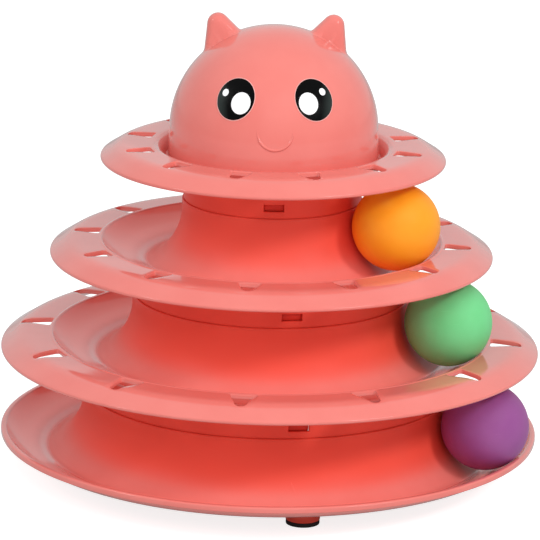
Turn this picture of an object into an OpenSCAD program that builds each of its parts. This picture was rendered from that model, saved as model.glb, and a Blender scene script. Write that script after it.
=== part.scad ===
// Cat ball track toy: three ring tracks stacked on one tower, a ball free to roll
// round each track, a brim on top and a hollow cat's head.
// Millimetres, +Z up, standing on z = 0, tower axis on the Z axis, the cat looks along -Y.
// Azimuths are in degrees from the front, growing towards +X.

/* [Tower] */
// free height above a ball, up to the tier over it
tier_gap = 4.6; // [3:0.1:15]
// height of the lowest track's lip above the ground
lip_z = 19.1; // [14:0.1:30]
// how far a tier's lip stands outside the neck that carries it
overhang = 15.1; // [12:0.1:18]
// the same for the brim under the head
top_overhang = 14.6; // [12:0.1:18]
// how far a neck's top edge stands above its own track's lip
neck_rise = 19.5; // [16:0.1:26]
// wall thickness of the mouldings
wall = 1.8; // [1.2:0.1:3]

/* [Track channel] */
// radius of the ball
ball_r = 20.3; // [15:0.1:25]
// wall thickness of a ball
ball_wall = 1; // [0.5:0.1:2]
// how much narrower than a ball a track is from neck to lip
squeeze = 2.9; // [0:0.1:4]
// the same for the lowest track
base_squeeze = 3.8; // [0:0.1:5]
// how much larger than the ball's radius the curve of the outer wall is
bank_gap = 1.2; // [0.5:0.1:4]
// how far each ball stands outwards in that play, as a share of it, lowest first
ball_out_shares = [0.82, 0.82, 0.2]; // [0:0.01:0.9]
// how far down a ball sits in that play, as a share of it
ball_sink_share = 0.25; // [0:0.01:0.4]
// azimuth of each ball at rest, lowest first
ball_azs = [67.5, 72, 64.5]; // [-180:0.5:180]
// radius of the waist's concave curve
waist_r = 29; // [24:0.5:36]
// distance from a neck's face to the lowest line of its track's floor
floor_run = 15.81; // [14:0.01:19]
// depth of that line below the lip
floor_drop = 9.74; // [8:0.01:12]
// radius of the fillet between the waist and the floor
floor_r = 6; // [3:0.5:9]
// slope of the outer wall where it ends in the lip, in degrees
bank_turn = 48.5; // [40:0.5:60]
// radius of the rounded bead along the lip
bead_r = 1; // [0.6:0.1:2]

/* [Brims] */
// thickness of a brim
brim_t = 2.2; // [1.5:0.1:3]
// how far the lip's bead stands above the flat of the brim
bead_rise = 0.2; // [0.1:0.1:1]
// width of the drooping outer part of a brim
droop_w = 12.5; // [8:0.1:18]
// radius of the bend between the flat and the drooping part
droop_r = 12; // [6:0.5:30]
// droop of a brim's outer edge, in degrees
droop_turn = 32; // [10:1:40]
// distance from the base tray's lip bead to its outer edge
lip_w = 1.8; // [1:0.1:3]
// height of the base tray's outer edge
lip_h = 2.9; // [2:0.1:5]

/* [Holes] */
// number of holes in each brim
hole_count = 12; // [6:1:16]
// azimuth of one hole in each brim, lowest first
hole_azs = [-6.1, -6.5, 15.9]; // [-30:0.1:30]
// length of the lower tray's holes along the radius
lower_hole_l = 14.4; // [8:0.1:16]
// length of the upper tray's holes
upper_hole_l = 12.1; // [8:0.1:14]
// length of the holes in the brim under the head
top_hole_l = 12.2; // [8:0.1:14]
// width of a hole's inner side, as a share of its length
hole_width_share = 0.88; // [0.6:0.01:1.2]
// distance from a brim's lip to the inner side of its holes
hole_in = 1.2; // [1:0.1:6]
// radius of a hole's outer corner
hole_tip_r = 2.5; // [1:0.1:4]
// radius of a hole's two inner corners
hole_base_r = 1.2; // [0.5:0.1:3]

/* [Collars and snap hooks] */
// how far a collar's lower edge stands inside the neck it sits on
collar_in = 0.7; // [0.3:0.1:1.5]
// how much a collar widens towards its top
collar_flare = 0.8; // [0:0.1:2]
// number of snap hooks round a neck
hook_count = 3; // [2:1:6]
// azimuth of one hook on each neck, lowest first
hook_azs = [9.2, 8.9, 1]; // [-60:0.1:60]
// width of a hook's window
window_w = 9.5; // [6:0.1:14]
// height of a window's lower edge above the seam
window_z = 3.3; // [2:0.1:6]
// height of a window
window_h = 3.4; // [2:0.1:6]
// thickness of a hook's upright tongue
hook_t = 1.5; // [1:0.1:3]
// depth of a hook's root below the seam
hook_root = 8; // [4:0.5:12]
// how far a hook's nose stays behind the collar's face
nose_in = 1.2; // [0.5:0.1:1.6]
// play round a hook
hook_gap = 0.25; // [0.1:0.05:0.5]
// width and height of the small notch in the upper tray's collar
notch = 1.8; // [1:0.1:3]

/* [Head] */
// radius of the dome
dome_r = 48.4; // [40:0.1:60]
// distance from the dome to the crest of the brim around it
head_gap = 8.2; // [6:0.1:12]
// height of the head's upright skirt below the dome
skirt_h = 12.9; // [6:0.1:16]
// extra radius of the head's lower edge
skirt_flare = 0.4; // [0:0.1:2]
// depth of the head's seat below the crest's level
seat_depth = 5.8; // [3:0.1:8]
// radius of the crest that rounds the brim down to the seat
crest_r = 6; // [4:0.1:8]
// slope of the brim beside the seat, in degrees
crest_turn = 60; // [40:1:75]
// height of the ring that centres the head
spigot_h = 4; // [2:0.5:8]
// play between that ring and the head
spigot_gap = 0.2; // [0.1:0.05:0.5]
// distance of an ear's rounded tip from the middle plane
ear_x = 26.6; // [20:0.1:32]
// distance of an ear's tip behind the tower axis
ear_y = 3; // [-5:0.1:10]
// height of the ears' tips above the dome's centre
ear_h = 53.6; // [48:0.1:65]
// radius of an ear's tip
ear_tip_r = 5; // [3:0.1:8]
// outward lean of an ear, in degrees
ear_turn = 20; // [0:1:35]
// half of the angle between an ear's sides
ear_side_turn = 23; // [10:1:35]
// height above the dome's centre where an ear ends inside the head
ear_root = 24.2; // [18:0.1:30]
// radius of the smile
smile_r = 7.8; // [5:0.1:12]
// height of the smile's ends above the dome's centre
smile_rise = 8.4; // [4:0.1:14]
// width of the smile's raised line
smile_w = 1.2; // [0.8:0.1:2]
// how far the smile stands out of the head
smile_h = 0.5; // [0.2:0.1:1]

/* [Eyes] */
// azimuth of the eyes on either side of the front
eye_az = 24.2; // [15:0.1:35]
// elevation of the eyes on the dome
eye_el = 27.6; // [15:0.1:40]
// width of an eye
eye_w = 18.6; // [12:0.1:24]
// height of an eye
eye_h = 20.4; // [12:0.1:26]
// thickness of the printed film of an eye
eye_t = 0.3; // [0.1:0.05:0.6]

/* [Feet] */
// number of feet
foot_count = 4; // [3:1:6]
// azimuth of one foot
foot_az = 10.5; // [-45:0.5:45]
// how far the feet's axes stand outside the lowest neck
foot_out = 2.8; // [0:0.1:8]
// radius of a foot
foot_r = 7.85; // [5:0.05:12]
// thickness of the rubber pad under a foot
pad_t = 2; // [1:0.1:4]
// how much smaller the pad is than its foot
pad_in = 0.2; // [0:0.1:1]
// height of a foot's post
post_h = 22; // [10:0.5:30]

/* [Output] */
// piece to show

/* [Hidden] */
$fn = 96;
waist_steps = 14;
floor_steps = 10;
bank_steps = 8;
droop_steps = 7;
bead_steps = 8;
corner_steps = 5;
half_turn = 180;
full_turn = 360;
pink = [0.96, 0.5, 0.48];
over = wall / 2;
tier_count = 4;
pitch = 2 * ball_r + tier_gap;
bank_r = ball_r + bank_gap;
track_w = 2 * ball_r - squeeze;
base_track_w = 2 * ball_r - base_squeeze;
// the brims are as wide as makes the lower tray flush with the base tray
brim_w = base_track_w + lip_w - overhang;
// radii from the head downwards: each lip stands outside the neck under it
top_lip_r = dome_r + head_gap;
upper_neck_r = top_lip_r - top_overhang;
lower_neck_r = upper_neck_r + track_w - overhang;
base_neck_r = lower_neck_r + track_w - overhang;
neck_rs = [base_neck_r, lower_neck_r, upper_neck_r];
lip_rs = [base_neck_r + base_track_w, lower_neck_r + track_w, upper_neck_r + track_w, top_lip_r];
rim_rs = [for (k = [0 : tier_count - 1]) k == 0 ? lip_rs[k] + lip_w : lip_rs[k] + brim_w];
lip_zs = [for (k = [0 : tier_count - 1]) lip_z + k * pitch];
seam_zs = [for (k = [0 : tier_count - 2]) lip_zs[k] + neck_rise];
collar_rs = [for (k = [0 : tier_count - 2]) neck_rs[k] - collar_in];
hole_ls = [lower_hole_l, upper_hole_l, top_hole_l];
// turn of the waist's curve from upright until it meets the floor's fillet
waist_turn = acos((waist_r - floor_run) / (waist_r - floor_r));
seat_z = lip_zs[3] - seat_depth;
crest_c = [lip_rs[3], lip_zs[3] - bead_rise - crest_r];
dome_z = seat_z + skirt_h;
ear_l = (ear_h - ear_tip_r - ear_root) / cos(ear_turn);
foot_place_r = base_neck_r + foot_out;
reach = rim_rs[0] * 2;
window_a = [for (k = [0 : tier_count - 2]) 2 * asin(window_w / 2 / neck_rs[k])];

// centres of the three arcs of a channel's section: waist, floor and outer bank
function floor_c(k) = [neck_rs[k] + floor_run, lip_zs[k] - floor_drop + floor_r];
function waist_c(k) = floor_c(k) + (waist_r - floor_r) * [cos(waist_turn), sin(waist_turn)];
function bank_c(k) = [lip_rs[k], lip_zs[k] - bead_r] + (bank_r + bead_r) * [-sin(bank_turn), cos(bank_turn)];

// slope of the straight floor that touches both lower arcs
function floor_turn(k) = let (v = bank_c(k) - floor_c(k))
    atan2(v[1], v[0]) - asin((bank_r - floor_r) / norm(v));

// height of an arc's lower half at radius x
function low_z(c, r, x) = c[1] - sqrt(r * r - (x - c[0]) * (x - c[0]));

// height of the middle of channel k's wall at radius x
function wall_z(k, x) = let (
    s = floor_turn(k),
    f = floor_c(k),
    b = bank_c(k),
    fr = floor_r + over,
    br = bank_r + over)
    x < f[0] - fr * cos(waist_turn) ? low_z(waist_c(k), waist_r + over, x)
    : x < f[0] + fr * sin(s) ? low_z(f, fr, x)
    : x < b[0] + br * sin(s) ? f[1] - fr / cos(s) + (x - f[0]) * tan(s)
    : low_z(b, br, x);

// a point of an arc, its angle counted from straight down
function arc_at(c, r, a) = c + r * [sin(a), -cos(a)];

// points along an arc from angle a to angle b
function arc(c, r, a, b, steps) = [for (i = [0 : steps]) arc_at(c, r, a + (b - a) * i / steps)];

// drooping part of brim k: its upper side, round the edge and back along its underside
function brim_line(k) = let (
    z = lip_zs[k] - bead_rise,
    c = [rim_rs[k] - droop_w, z - droop_r],
    mid = droop_r - brim_t / 2,
    run = (droop_w - brim_t / 2 - mid * sin(droop_turn)) / cos(droop_turn),
    edge = arc_at(c, mid, half_turn - droop_turn) + run * [cos(droop_turn), -sin(droop_turn)])
    concat(
        arc(c, droop_r, half_turn, half_turn - droop_turn, droop_steps),
        arc(edge, brim_t / 2, half_turn - droop_turn, -droop_turn, bead_steps),
        arc(c, droop_r - brim_t, half_turn - droop_turn, half_turn, droop_steps));

// bead along lip k, up to the given angle
function bead_line(k, end) = arc([lip_rs[k], lip_zs[k] - bead_r], bead_r, half_turn + bank_turn, end, bead_steps);

// outer face of the lip of the base tray
function lip_line() = let (z = lip_zs[0] - bead_r) concat(
    arc([rim_rs[0] - bead_r, z], bead_r, half_turn, half_turn / 2, bead_steps),
    arc([rim_rs[0] - bead_r / 2, lip_zs[0] - lip_h + bead_r / 2], bead_r / 2, half_turn / 2, 0, bead_steps));

// radius at which the slope below a crest of radius r comes down to height z
function slope_r(r, z) = let (p = arc_at(crest_c, r, half_turn + crest_turn)) p[0] - (p[1] - z) / tan(crest_turn);

// underside height of what surrounds channel k
function under_z(k) = lip_zs[k] - (k == 0 ? lip_h : bead_rise + brim_t);

// section of a channel with its neck and the lip or brim around it
module track_section(k) {
    w = waist_c(k);
    f = floor_c(k);
    b = bank_c(k);
    s = floor_turn(k);
    w_end = waist_turn - half_turn / 2;
    out = bank_r + wall;
    polygon(concat(
        [[neck_rs[k], seam_zs[k]]],
        arc(w, waist_r, -half_turn / 2, w_end, waist_steps),
        arc(f, floor_r, w_end, s, floor_steps),
        arc(b, bank_r, s, bank_turn, bank_steps),
        bead_line(k, k == 0 ? half_turn : half_turn - acos(1 - bead_rise / bead_r)),
        k == 0 ? lip_line() : brim_line(k),
        arc(b, out, acos((b[1] - under_z(k)) / out), s, bank_steps),
        arc(f, floor_r + wall, s, w_end, floor_steps),
        arc(w, waist_r + wall, w_end, -half_turn / 2, waist_steps),
        [[neck_rs[k] - wall, seam_zs[k]]]));
}

// section of the collar that stands on neck k, up to height top
module collar_section(k, top) {
    r = collar_rs[k];
    polygon([[r - wall, seam_zs[k]], [r, seam_zs[k]], [r + collar_flare, top], [r + collar_flare - wall, top]]);
}

// direction, seen from circle i, of the tangent shared with the next circle
function tie(ps, rs, i) = let (j = (i + 1) % len(ps), v = ps[j] - ps[i])
    atan2(v[1], v[0]) - acos((rs[i] - rs[j]) / norm(v));

// angle from a to b, turning left
function turn(a, b) = b - a - full_turn * floor((b - a) / full_turn);

// convex outline round circles that are given by their centres and radii
module rounded_outline(ps, rs) {
    last = len(ps) - 1;
    polygon([for (i = [0 : last]) let (
        a = tie(ps, rs, i == 0 ? last : i - 1),
        t = turn(a, tie(ps, rs, i)))
        for (n = [0 : corner_steps]) ps[i] + rs[i] * [cos(a + t * n / corner_steps), sin(a + t * n / corner_steps)]]);
}

// holes through the brim round lip k
module holes(k) {
    len = hole_ls[k - 1];
    half = len * hole_width_share / 2 - hole_base_r;
    start = lip_rs[k] + hole_in;
    for (i = [0 : hole_count - 1])
        rotate(hole_azs[k - 1] - half_turn / 2 + i * full_turn / hole_count)
            translate([start, 0, lip_zs[k] - brim_t * 4])
                linear_extrude(brim_t * 6)
                    rounded_outline([[hole_base_r, -half], [len - hole_tip_r, 0], [hole_base_r, half]],
                        [hole_base_r, hole_tip_r, hole_base_r]);
}

// part of a turned ring between two radii and two heights, centred on an azimuth
module ring_part(az, a, r1, r2, z1, z2) {
    rotate(az - half_turn / 2 - a / 2)
        rotate_extrude(angle = a)
            translate([r1, z1]) square([r2 - r1, z2 - z1]);
}

// windows through the collar that stands on neck k
module windows(k) {
    for (i = [0 : hook_count - 1])
        ring_part(hook_azs[k] + i * full_turn / hook_count, window_a[k], collar_rs[k] - wall * 2,
            collar_rs[k] + wall * 2, seam_zs[k] + window_z, seam_zs[k] + window_z + window_h);
}

// snap hooks inside neck k, each with its nose in a window of the collar above
module hooks(k) {
    out = collar_rs[k] - wall - hook_gap;
    play = 2 * asin(hook_gap / neck_rs[k]);
    for (i = [0 : hook_count - 1]) {
        az = hook_azs[k] + i * full_turn / hook_count;
        ring_part(az, window_a[k] - play, out - hook_t, neck_rs[k] - over,
            seam_zs[k] - hook_root, seam_zs[k] - hook_gap);
        ring_part(az, window_a[k] - play, out - hook_t, out,
            seam_zs[k] - hook_root, seam_zs[k] + window_z + window_h - hook_gap);
        ring_part(az, window_a[k] - play, out - hook_t, collar_rs[k] - nose_in,
            seam_zs[k] + window_z + hook_gap, seam_zs[k] + window_z + window_h - hook_gap);
    }
}

// places its children at foot i
module at_foot(i) {
    rotate(foot_az - half_turn / 2 + i * full_turn / foot_count)
        translate([foot_place_r, 0, 0]) children();
}

// posts of the feet, up to the underside of the lowest channel
module posts() {
    difference() {
        for (i = [0 : foot_count - 1])
            at_foot(i) translate([0, 0, pad_t]) cylinder(h = post_h, r = foot_r);
        rotate_extrude() {
            translate(waist_c(0)) circle(waist_r + over);
        }
    }
}

module base_tray() {
    color(pink) union() {
        rotate_extrude() track_section(0);
        hooks(0);
        posts();
    }
}

// tray k stands on neck k - 1 with its collar
module tray(k) {
    difference() {
        rotate_extrude() {
            track_section(k);
            collar_section(k - 1, wall_z(k, neck_rs[k - 1] - over));
        }
        holes(k);
        windows(k - 1);
    }
    hooks(k);
}

module lower_tray() {
    color(pink) tray(1);
}

module upper_tray() {
    color(pink) difference() {
        tray(2);
        ring_part(hook_azs[1], window_a[1] * notch / window_w, collar_rs[1] - wall * 2,
            collar_rs[1] + wall * 2, seam_zs[1] - wall, seam_zs[1] + notch);
    }
}

module top_brim() {
    in = collar_rs[2] + collar_flare - wall;
    spigot_r = dome_r - wall - spigot_gap;
    color(pink) difference() {
        union() {
            rotate_extrude()
                polygon(concat(
                    [[in, seat_z], [slope_r(crest_r, seat_z), seat_z]],
                    arc(crest_c, crest_r, half_turn + crest_turn, half_turn, bead_steps),
                    brim_line(3),
                    arc(crest_c, crest_r - brim_t, half_turn, half_turn + crest_turn, bead_steps),
                    [[slope_r(crest_r - brim_t, seat_z - brim_t), seat_z - brim_t], [in, seat_z - brim_t]]));
            rotate_extrude() translate([spigot_r - wall, seat_z - over]) square([wall, spigot_h + over]);
            rotate_extrude() collar_section(2, seat_z - over);
        }
        holes(3);
        windows(2);
    }
}

// one ear, made smaller all round by t
module ear(side, t) {
    r = ear_tip_r - t;
    translate([side * ear_x, ear_y, dome_z + ear_h - ear_tip_r]) rotate([0, side * ear_turn, 0]) {
        sphere(r);
        translate([0, 0, -ear_l]) cylinder(h = ear_l + r * sin(ear_side_turn),
            r1 = r / cos(ear_side_turn) + ear_l * tan(ear_side_turn), r2 = r * cos(ear_side_turn));
    }
}

// solid form of the dome with its skirt, grown all round by t
module dome(t) {
    intersection() {
        translate([0, 0, dome_z]) sphere(dome_r + t);
        translate([-reach, -reach, dome_z]) cube([2 * reach, 2 * reach, reach]);
    }
    translate([0, 0, seat_z]) cylinder(h = dome_z - seat_z, r1 = dome_r + skirt_flare + t, r2 = dome_r + t);
}

module smile() {
    intersection() {
        difference() {
            dome(smile_h);
            dome(-over);
        }
        translate([0, 0, dome_z + smile_rise]) rotate([half_turn / 2, 0, 0]) linear_extrude(dome_r * 2)
            difference() {
                circle(smile_r + smile_w / 2);
                circle(smile_r - smile_w / 2);
                translate([-dome_r, 0]) square([dome_r * 2, dome_r]);
            }
    }
}

module cat_head() {
    color(pink) difference() {
        union() {
            dome(0);
            difference() {
                for (side = [-1, 1]) ear(side, 0);
                translate([-reach, -reach, -reach]) cube([2 * reach, 2 * reach, dome_z + reach]);
            }
            smile();
        }
        for (side = [-1, 1]) ear(side, wall);
        dome(-wall);
        translate([0, 0, seat_z - over]) cylinder(h = wall, r = dome_r + skirt_flare - wall);
    }
}

// oval film on the dome, side -1 or 1
module eye(side) {
    intersection() {
        difference() {
            translate([0, 0, dome_z]) sphere(dome_r + eye_t);
            translate([0, 0, dome_z]) sphere(dome_r);
        }
        translate([0, 0, dome_z]) rotate(side * eye_az - half_turn / 2) rotate([0, half_turn / 2 - eye_el, 0])
            linear_extrude(reach) {
                off = (eye_h - eye_w) / 2;
                translate([off, 0]) circle(eye_w / 2);
                translate([-off, 0]) circle(eye_w / 2);
                translate([-off, -eye_w / 2]) square([off * 2, eye_w]);
            }
    }
}

module left_eye() {
    color([0.06, 0.06, 0.07]) eye(-1);
}

module right_eye() {
    color([0.06, 0.06, 0.07]) eye(1);
}

// hollow ball in track k
module ball(k) {
    c = bank_c(k) + bank_gap * [ball_out_shares[k], -ball_sink_share];
    rotate(ball_azs[k] - half_turn / 2) translate([c[0], 0, c[1]])
        difference() {
            sphere(ball_r);
            sphere(ball_r - ball_wall);
        }
}

module purple_ball() {
    color([0.52, 0.26, 0.62]) ball(0);
}

module green_ball() {
    color([0.36, 0.83, 0.53]) ball(1);
}

module orange_ball() {
    color([1, 0.62, 0.15]) ball(2);
}

module foot_pad(i) {
    color([0.1, 0.1, 0.1]) at_foot(i) cylinder(h = pad_t, r = foot_r - pad_in);
}

base_tray();
lower_tray();
upper_tray();
top_brim();
cat_head();
left_eye();
right_eye();
purple_ball();
green_ball();
orange_ball();
foot_pad(0);  // foot_pad_1
foot_pad(1);  // foot_pad_2
foot_pad(2);  // foot_pad_3
foot_pad(3);  // foot_pad_4
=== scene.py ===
# Looks of the cat ball track toy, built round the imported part.
# Metres, +Z up, the cat looks along -Y. Azimuths count from the front towards +X, in degrees.
import math

import bmesh
import bpy
import numpy as np
from mathutils import Matrix, Vector


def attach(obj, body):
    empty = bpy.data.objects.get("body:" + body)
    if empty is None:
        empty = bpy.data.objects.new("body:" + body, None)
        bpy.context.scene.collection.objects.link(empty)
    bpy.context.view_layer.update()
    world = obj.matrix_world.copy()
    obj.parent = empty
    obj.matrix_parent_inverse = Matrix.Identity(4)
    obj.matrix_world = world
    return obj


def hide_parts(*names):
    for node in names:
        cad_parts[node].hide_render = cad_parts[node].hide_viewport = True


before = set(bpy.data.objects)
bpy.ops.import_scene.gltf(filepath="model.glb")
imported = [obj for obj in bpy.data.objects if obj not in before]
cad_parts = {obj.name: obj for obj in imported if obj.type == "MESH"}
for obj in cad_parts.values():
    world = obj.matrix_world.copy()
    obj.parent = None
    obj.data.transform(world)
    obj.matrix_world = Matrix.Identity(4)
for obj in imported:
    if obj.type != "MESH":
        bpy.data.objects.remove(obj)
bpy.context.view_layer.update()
print("frame loaded")

mm = 0.001

# sizes of the tower in millimetres, lowest tier first
tower = {
    "pitch": 45.2,  # from one tier's lip up to the next
    "lipZ": 19.1,
    "rimR": [125.8, 125.8, 103.2, 80.1],
    "neckR": [87.2, 64.6, 42.0],
    "neckRise": 19.5,  # from a lip up to the top of the neck inside it
    "wall": 1.8,
    "waistR": 29.0,  # of the curve from the neck down to the floor
    "floorRun": 15.81,  # from the neck out to the middle of the floor's curve
    "floorDrop": 9.74,  # from the lip down to the floor
    "floorR": 6.0,
    "bankR": 21.5,  # of the curve from the floor up to the lip
    "bankTurn": 48.5,
    "beadR": 1.0,  # of the rounded lip
    "brimW": 23.5,  # from the lip out to the rim
    "brimT": 2.2,
    "beadRise": 0.2,  # of the lip over its brim
    "droopW": 12.5,  # of the outer part of a brim, which droops
    "droopR": 12.0,
    "droopTurn": 32.0,
    "lipW": 1.8,  # of the base tray's lip, which has no brim
    "lipH": 2.9,
    "collarIn": 0.7,  # from a neck in to the collar that stands on it
    "collarFlare": 0.8,
    "edgeR": 0.45,
    "filletR": 1.2,
    "seatDepth": 5.8,  # from the top brim's lip down to the seat of the head
    "crestR": 6.0,
    "crestTurn": 60.0,
}
tower["lipR"] = [tower["rimR"][0] - tower["lipW"]] + [r - tower["brimW"] for r in tower["rimR"][1:]]
tower["lipZs"] = [tower["lipZ"] + k * tower["pitch"] for k in range(4)]
tower["seamZ"] = [z + tower["neckRise"] for z in tower["lipZs"][:3]]
tower["collarR"] = [r - tower["collarIn"] for r in tower["neckR"]]
tower["seat"] = tower["lipZs"][3] - tower["seatDepth"]
tower["waistTurn"] = math.degrees(math.acos((tower["waistR"] - tower["floorRun"])
                                            / (tower["waistR"] - tower["floorR"])))

# steps along the parts of the outlines
outlineSteps = {
    "edge": 3, "neck": 3, "waist": 26, "floor": 10, "slope": 6, "bank": 12, "bead": 8, "rim": 10,
    "lip": 6, "lipFoot": 4, "under": 8, "underWaist": 16, "underCollar": 3, "fillet": 4,
    "seat": 6, "crest": 12, "underCrest": 8,
}


# places and outlines

def spot(azimuth, radius, z):
    a = math.radians(azimuth)
    return Vector((radius * math.sin(a), -radius * math.cos(a), z)) * mm


def radiusOf(co):  # in millimetres
    return math.hypot(co.x, co.y) / mm


def azimuthOf(co):
    return math.degrees(math.atan2(co.x, -co.y))


def within(angle):  # an angle brought between -180 and 180
    return (angle + 180) % 360 - 180


def evenly(first, count):  # azimuths of copies set evenly round the tower
    return [first + n * 360 / count for n in range(count)]


def clamped(x):  # kept between 0 and 1
    return max(0.0, min(1.0, x))


def arcPoint(centre, radius, angle):  # angle from straight down, growing outwards
    a = math.radians(angle)
    return (centre[0] + radius * math.sin(a), centre[1] - radius * math.cos(a))


def arc(centre, radius, start, end, steps):
    return [arcPoint(centre, radius, start + (end - start) * i / steps) for i in range(steps + 1)]


def straight(a, b, steps):  # points between a and b, both left out
    return [(a[0] + (b[0] - a[0]) * i / steps, a[1] + (b[1] - a[1]) * i / steps) for i in range(1, steps)]


def floorCentre(k):
    return (tower["neckR"][k] + tower["floorRun"], tower["lipZs"][k] - tower["floorDrop"] + tower["floorR"])


def waistCentre(k):
    f, a, d = floorCentre(k), math.radians(tower["waistTurn"]), tower["waistR"] - tower["floorR"]
    return (f[0] + d * math.cos(a), f[1] + d * math.sin(a))


def bankCentre(k):
    a, d = math.radians(tower["bankTurn"]), tower["bankR"] + tower["beadR"]
    return (tower["lipR"][k] - d * math.sin(a), tower["lipZs"][k] - tower["beadR"] + d * math.cos(a))


def floorSlope(k):  # degrees
    f, b = floorCentre(k), bankCentre(k)
    d = math.hypot(b[0] - f[0], b[1] - f[1])
    lean = math.asin((tower["bankR"] - tower["floorR"]) / d)
    return math.degrees(math.atan2(b[1] - f[1], b[0] - f[0]) - lean)


def brimHeight(k, radius, under):  # height of a brim's upper side, or of its underside
    t = tower["brimT"] if under else 0.0
    flat = tower["lipZs"][k] - tower["beadRise"]
    bend, turn = tower["droopR"] - t, math.radians(tower["droopTurn"])
    start = tower["rimR"][k] - tower["droopW"]
    end = start + bend * math.sin(turn)
    if radius <= start:
        return flat - t
    if radius <= end:
        return flat - tower["droopR"] + math.sqrt(bend ** 2 - (radius - start) ** 2)
    return flat - tower["droopR"] + bend * math.cos(turn) - (radius - end) * math.tan(turn)


# holes of the brims: a rounded triangle with its tip outwards
holes = {
    "count": 12,
    "azimuth": [0, -6.1, -6.5, 15.9],
    "length": [0, 14.4, 12.1, 12.2],
    "width": 0.88,  # of a hole's inner side, as a share of its length
    "inset": 1.2,  # from the lip out to the holes
    "tipR": 2.5,
    "baseR": 1.2,
    "edge": 0.35,
    "half": 4,  # half of the patch of faces that a hole takes out of the grid
    "columns": [36, 36, 34, 28],  # grid columns from one hole to the next
    "rowWidth": 1.2,  # of the grid rows outside the holes
    "rimGap": 0.2,  # from the last grid row to the rounded rim
    "fade": 1.5,  # how fast the bending of the grid round a hole dies away
}

# how near a vertex counts as being there, in millimetres or, for the ring, in grid steps
tolerance = {"row": 0.3, "side": 0.05, "ring": 0.01}


# 32 points round a hole, four sides of eight steps, as (along the rim, outwards from its inner side)
def holeOutline(k):
    size = holes["length"][k]
    tipR, baseR = holes["tipR"], holes["baseR"]
    half = size * holes["width"] / 2 - baseR
    tip, right, left = (0.0, size - tipR), (half, baseR), (-half, baseR)
    rise, run = tip[1] - right[1], tip[0] - right[0]
    side = math.degrees(math.atan2(rise, run) - math.acos((baseR - tipR) / math.hypot(rise, run)))

    def bend(c, r, a, b, steps):
        return [(c[0] + r * math.cos(math.radians(a + (b - a) * i / steps)),
                 c[1] + r * math.sin(math.radians(a + (b - a) * i / steps))) for i in range(steps + 1)]

    mid = (side - 90) / 2
    bottom = bend(left, baseR, 180 - mid, 270, 2)
    bottom += straight(bottom[-1], (half, 0.0), 4) + bend(right, baseR, -90, mid, 2)
    tipArc = bend(tip, tipR, side, 180 - side, 12)
    rightSide = bend(right, baseR, mid, side, 2)
    rightSide += straight(rightSide[-1], tipArc[0], 4) + tipArc[:3]
    top = tipArc[2:11]
    leftArc = bend(left, baseR, 180 - side, 180 - mid, 2)
    leftSide = tipArc[10:] + straight(tipArc[-1], leftArc[0], 4) + leftArc
    return bottom[:-1] + rightSide[:-1] + top[:-1] + leftSide[:-1]


# place of grid corner (i, j) along the square ring that it stands on, 0 to 4
def ringPlace(i, j):
    n = max(abs(i), abs(j))
    if j == -n and i < n:
        return (i + n) / (2 * n)
    if i == n and j < n:
        return 1 + (j + n) / (2 * n)
    if j == n and i > -n:
        return 2 + (n - i) / (2 * n)
    return 3 + (n - j) / (2 * n)


# radii of the grid rows across a brim, the first of them across the holes
def brimRows(k):
    start = tower["lipR"][k] + holes["inset"]
    step = holes["length"][k] / (2 * holes["half"])
    rows = [start + step * i for i in range(2 * holes["half"] + 1)]
    side = tower["brimT"] / 2 * (1 + math.sin(math.radians(tower["droopTurn"])))
    end = tower["rimR"][k] - side - holes["rimGap"]
    count = max(3, round((end - rows[-1]) / holes["rowWidth"]))
    return rows + [rows[-1] + (end - rows[-1]) * i / count for i in range(1, count + 1)]


# outline of brim k from its holes on, out along its upper side and back along its underside
def brimOutline(k):
    rows, turn, half = brimRows(k), tower["droopTurn"], tower["brimT"] / 2
    mid, side = tower["rimR"][k] - half, half * math.sin(math.radians(turn))
    midZ = (brimHeight(k, mid - side, True) + brimHeight(k, mid + side, False)) / 2
    points = [(r, brimHeight(k, r, False)) for r in rows]
    points += arc((mid, midZ), half, 180 - turn, -turn, outlineSteps["rim"])
    return points + [(r, brimHeight(k, r, True)) for r in reversed(rows[:-1])]


# outer side of the lip of the base tray
def lipOutline():
    r, z, bead, n = tower["rimR"][0], tower["lipZs"][0], tower["beadR"], outlineSteps
    low = (r - bead / 2, z - tower["lipH"] + bead / 2)
    return arc((r - bead, z - bead), bead, 180, 90, n["lip"]) + arc(low, bead / 2, 90, 0, n["lipFoot"])


# collar that hangs from the underside of tier k, which runs straight from one point to another there
def collarOutline(k, lineStart, lineEnd):
    low, base, e, n = tower["collarR"][k - 1], tower["seamZ"][k - 1], tower["edgeR"], outlineSteps
    topOut, wall, fillet = low + tower["collarFlare"], tower["wall"], tower["filletR"]

    def onLine(r):
        t = (r - lineStart[0]) / (lineEnd[0] - lineStart[0])
        return lineStart[1] + (lineEnd[1] - lineStart[1]) * t

    points = straight(lineStart, (topOut + fillet, onLine(topOut)), n["underCollar"])
    points += arc((topOut + fillet, onLine(topOut) - fillet), fillet, 180, 270, n["fillet"])
    top = points[-1][1]
    rows = [(low + tower["collarFlare"] * (z - base) / (top - base), z) for z in collarRows(k - 1, top)]
    points += rows + arc((low - e, base + e), e, 90, 0, n["edge"])
    points += arc((low - wall + e, base + e), e, 0, -90, n["edge"])
    points += [(r - wall, z) for r, z in reversed(rows)]
    return points + [(topOut - wall, onLine(topOut - wall))]


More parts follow.
